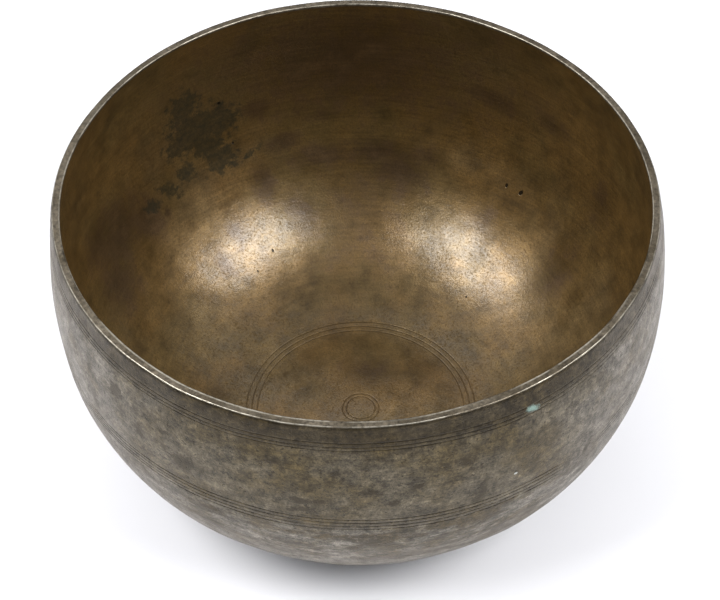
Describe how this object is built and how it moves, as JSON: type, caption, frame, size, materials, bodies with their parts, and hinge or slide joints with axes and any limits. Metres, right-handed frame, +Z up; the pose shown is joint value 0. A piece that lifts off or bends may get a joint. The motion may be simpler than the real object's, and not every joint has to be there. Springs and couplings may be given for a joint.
{
  "type": "singing bowl",
  "caption": "Round hand-hammered bronze singing bowl with curved walls, a flat lip, scribed lines and a flat foot, struck or rubbed at the rim to ring.",
  "frame": {"origin": "centre of the flat foot, on the surface that the bowl stands on", "axes": "+Z up along the bowl's axis of revolution; -Y is the side with the turquoise spot just to its right"},
  "size_m": [0.2384, 0.2384, 0.13],
  "materials": {
    "bell_bronze": "aged bell bronze: grey-brown patina outside with dark mottling and pits, satin golden-brown inside, dark scribed lines, a greenish-black stain high on the inner wall"
  },
  "bodies": {
    "root": {"bowl": "bell_bronze"}
  },
  "joints": []
}
